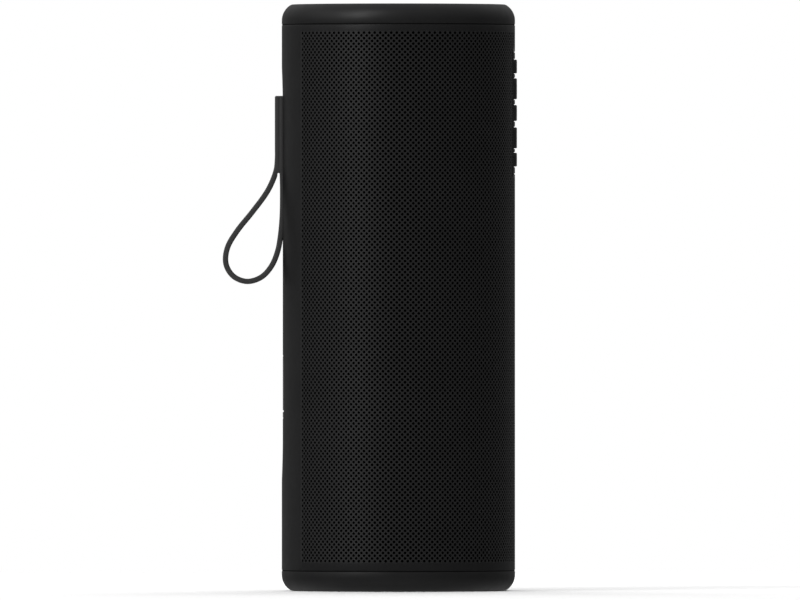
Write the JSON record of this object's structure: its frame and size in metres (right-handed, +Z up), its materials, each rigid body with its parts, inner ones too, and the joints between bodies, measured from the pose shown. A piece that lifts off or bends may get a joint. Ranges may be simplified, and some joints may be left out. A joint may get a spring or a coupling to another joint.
{
  "type": "shower speaker",
  "caption": "Upright cylindrical shower speaker with a perforated wrap, a column of side buttons, a rear carrying strap and a hinged cover over its charging port.",
  "frame": {"origin": "middle of the foot pad's underside, on the surface the speaker stands on", "axes": "+Z up along the cylinder's axis, +X out of the buttons, -X out of the strap and port, -Y towards the left driver"},
  "size_m": [0.0923, 0.0732, 0.184],
  "materials": {
    "shell_black": "satin moulded",
    "grille_black": "satin powder coat",
    "mesh_black": "fine woven",
    "button_black": "satin moulded",
    "strap_grey": "matte silicone",
    "rubber_black": "matte",
    "housing_grey": "fine texture",
    "board_green": "solder mask",
    "switch_grey": "moulded",
    "cell_wrap": "shrink wrap",
    "holder_white": "moulded",
    "steel": "plated",
    "magnet_dark": "dark plated",
    "cone_paper": "pressed pulp",
    "copper_flex": "polyimide film",
    "lead_red": "smooth jacket"
  },
  "bodies": {
    "speaker_body": {"acoustic_mesh": "mesh_black", "battery_cell_left": "cell_wrap", "battery_cell_right": "cell_wrap", "battery_holder": "holder_white", "battery_lead": "lead_red", "bottom_cap": "shell_black", "button_bezel": "shell_black", "button_board": "board_green", "button_ribbon": "copper_flex", "button_seal": "rubber_black", "cap_screw_1": "steel", "cap_screw_2": "steel", "cap_screw_3": "steel", "cap_screw_4": "steel", "charge_port": "steel", "foot_pad": "rubber_black", "grille": "grille_black", "housing_lid": "housing_grey", "inner_housing": "housing_grey", "left_driver_frame": "steel", "left_driver_magnet": "magnet_dark", "left_driver_surround": "rubber_black", "left_radiator_surround": "rubber_black", "lid_gasket": "rubber_black", "lid_screw_1": "steel", "lid_screw_2": "steel", "lid_screw_3": "steel", "lid_screw_4": "steel", "main_board": "board_green", "pairing_switch": "switch_grey", "play_switch": "switch_grey", "port_gasket": "rubber_black", "power_switch": "switch_grey", "rear_spine": "shell_black", "right_driver_frame": "steel", "right_driver_magnet": "magnet_dark", "right_driver_surround": "rubber_black", "right_radiator_surround": "rubber_black", "strap_screw": "steel", "strap_tab": "strap_grey", "top_cap": "shell_black", "volume_down_switch": "switch_grey", "volume_up_switch": "switch_grey"},
    "power_key": {"power_button": "button_black", "power_switch_stem": "switch_grey"},
    "volume_up_key": {"volume_up_button": "button_black", "volume_up_switch_stem": "switch_grey"},
    "play_key": {"play_button": "button_black", "play_switch_stem": "switch_grey"},
    "volume_down_key": {"volume_down_button": "button_black", "volume_down_switch_stem": "switch_grey"},
    "pairing_key": {"pairing_button": "button_black", "pairing_switch_stem": "switch_grey"},
    "port_flap": {"port_cover": "rubber_black"},
    "strap": {"strap_loop": "strap_grey"},
    "left_cone": {"left_driver_cone": "cone_paper"},
    "left_radiator": {"left_radiator_plate": "magnet_dark"},
    "right_cone": {"right_driver_cone": "cone_paper"},
    "right_radiator": {"right_radiator_plate": "magnet_dark"}
  },
  "joints": [
    {"name": "power_press", "type": "slide", "parent": "speaker_body", "child": "power_key", "axis": [-1, 0, 0], "range_m": [0, 0.0005], "stiffness_N_per_m": 2000},
    {"name": "volume_up_press", "type": "slide", "parent": "speaker_body", "child": "volume_up_key", "axis": [-1, 0, 0], "range_m": [0, 0.0005], "stiffness_N_per_m": 2000},
    {"name": "play_press", "type": "slide", "parent": "speaker_body", "child": "play_key", "axis": [-1, 0, 0], "range_m": [0, 0.0005], "stiffness_N_per_m": 2000},
    {"name": "volume_down_press", "type": "slide", "parent": "speaker_body", "child": "volume_down_key", "axis": [-1, 0, 0], "range_m": [0, 0.0005], "stiffness_N_per_m": 2000},
    {"name": "pairing_press", "type": "slide", "parent": "speaker_body", "child": "pairing_key", "axis": [-1, 0, 0], "range_m": [0, 0.0005], "stiffness_N_per_m": 2000},
    {"name": "port_cover_hinge", "type": "hinge", "parent": "speaker_body", "child": "port_flap", "pos_m": [-0.036, 0, 0.0547], "axis": [0, -1, 0], "range_deg": [0, 110], "stiffness_Nm_per_rad": 0.004},
    {"name": "strap_hinge", "type": "hinge", "parent": "speaker_body", "child": "strap", "pos_m": [-0.03874, 0, 0.13575], "axis": [0, 1, 0], "range_deg": [0, 110], "stiffness_Nm_per_rad": 0.015},
    {"name": "left_cone_travel", "type": "slide", "parent": "speaker_body", "child": "left_cone", "axis": [0, -1, 0], "range_m": [-0.0015, 0.0015], "stiffness_N_per_m": 1000, "deforming": ["left_driver_surround"]},
    {"name": "left_radiator_travel", "type": "slide", "parent": "speaker_body", "child": "left_radiator", "axis": [0, -1, 0], "range_m": [-0.002, 0.002], "stiffness_N_per_m": 800, "deforming": ["left_radiator_surround"]},
    {"name": "right_cone_travel", "type": "slide", "parent": "speaker_body", "child": "right_cone", "axis": [0, 1, 0], "range_m": [-0.0015, 0.0015], "stiffness_N_per_m": 1000, "deforming": ["right_driver_surround"]},
    {"name": "right_radiator_travel", "type": "slide", "parent": "speaker_body", "child": "right_radiator", "axis": [0, 1, 0], "range_m": [-0.002, 0.002], "stiffness_N_per_m": 800, "deforming": ["right_radiator_surround"]}
  ]
}
